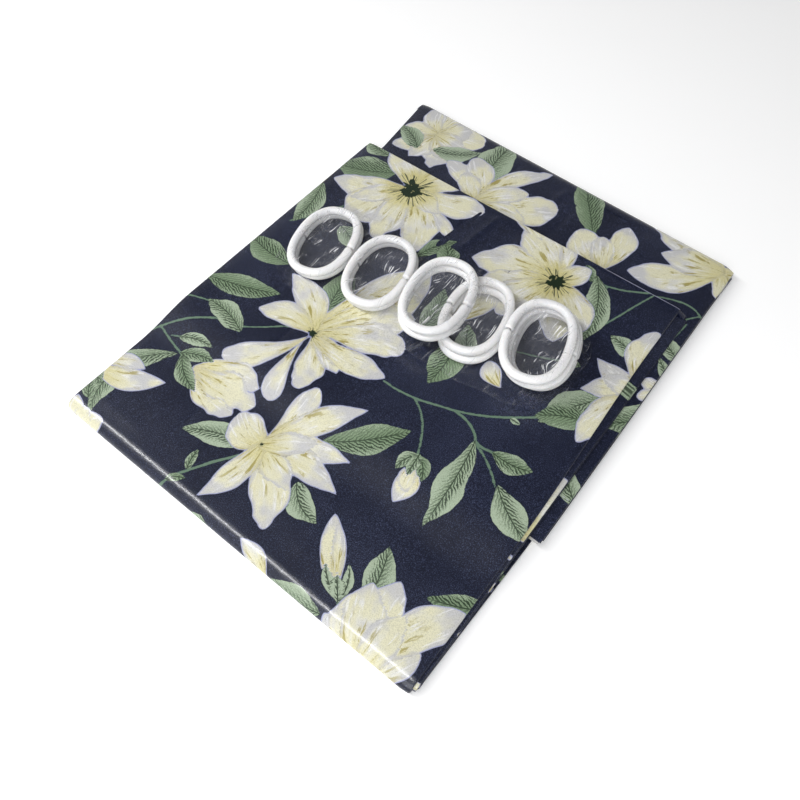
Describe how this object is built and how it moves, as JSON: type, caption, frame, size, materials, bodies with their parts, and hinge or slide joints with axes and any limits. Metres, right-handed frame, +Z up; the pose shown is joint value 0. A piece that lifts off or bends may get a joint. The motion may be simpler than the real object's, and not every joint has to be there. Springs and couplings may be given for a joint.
{
  "type": "folded shower curtain with snap rings",
  "caption": "Printed satin shower curtain folded flat, with a clear sachet of white oval snap rings lying on it.",
  "frame": {"origin": "centre of the folded pack's bounding box, on the surface it lies on", "axes": "+X along the front fold towards the side where the inner flap shows, +Y from the front fold to the back fold, +Z up out of the pack"},
  "size_m": [0.277, 0.3614, 0.0397],
  "materials": {
    "printed_satin": "navy polyester satin printed with cream magnolias, sage leaves and stems",
    "eyelet_metal": "bright nickel-plated eyelets",
    "white_plastic": "glossy white moulded plastic",
    "clear_film": "thin clear crinkled polypropylene film"
  },
  "bodies": {
    "folded_cloth": {"bottom_leaf": "printed_satin", "front_fold": "printed_satin", "back_fold": "printed_satin", "inner_flap": "printed_satin", "header_hem": "printed_satin", "eyelet_01": "eyelet_metal", "eyelet_02": "eyelet_metal", "eyelet_03": "eyelet_metal", "eyelet_04": "eyelet_metal", "eyelet_05": "eyelet_metal", "eyelet_06": "eyelet_metal", "eyelet_07": "eyelet_metal", "eyelet_08": "eyelet_metal", "eyelet_09": "eyelet_metal", "eyelet_10": "eyelet_metal", "eyelet_11": "eyelet_metal", "eyelet_12": "eyelet_metal"},
    "front_flap": {"front_flap": "printed_satin"},
    "sachet": {"sachet_back_film": "clear_film", "sachet_front_film": "clear_film", "ring_01": "white_plastic", "ring_02": "white_plastic", "ring_03": "white_plastic", "ring_04": "white_plastic", "ring_05": "white_plastic", "ring_06": "white_plastic", "ring_07": "white_plastic", "ring_08": "white_plastic", "ring_09": "white_plastic", "ring_10": "white_plastic", "ring_11": "white_plastic", "ring_12": "white_plastic"}
  },
  "joints": [
    {"name": "front_flap_fold", "type": "hinge", "parent": "folded_cloth", "child": "front_flap", "pos_m": [0, -0.17175, 0.00455], "axis": [1, 0, 0], "range_deg": [0, 30]},
    {"name": "sachet_lift", "type": "slide", "parent": "front_flap", "child": "sachet", "axis": [0, 0, 1], "range_m": [0, 0.15]}
  ]
}
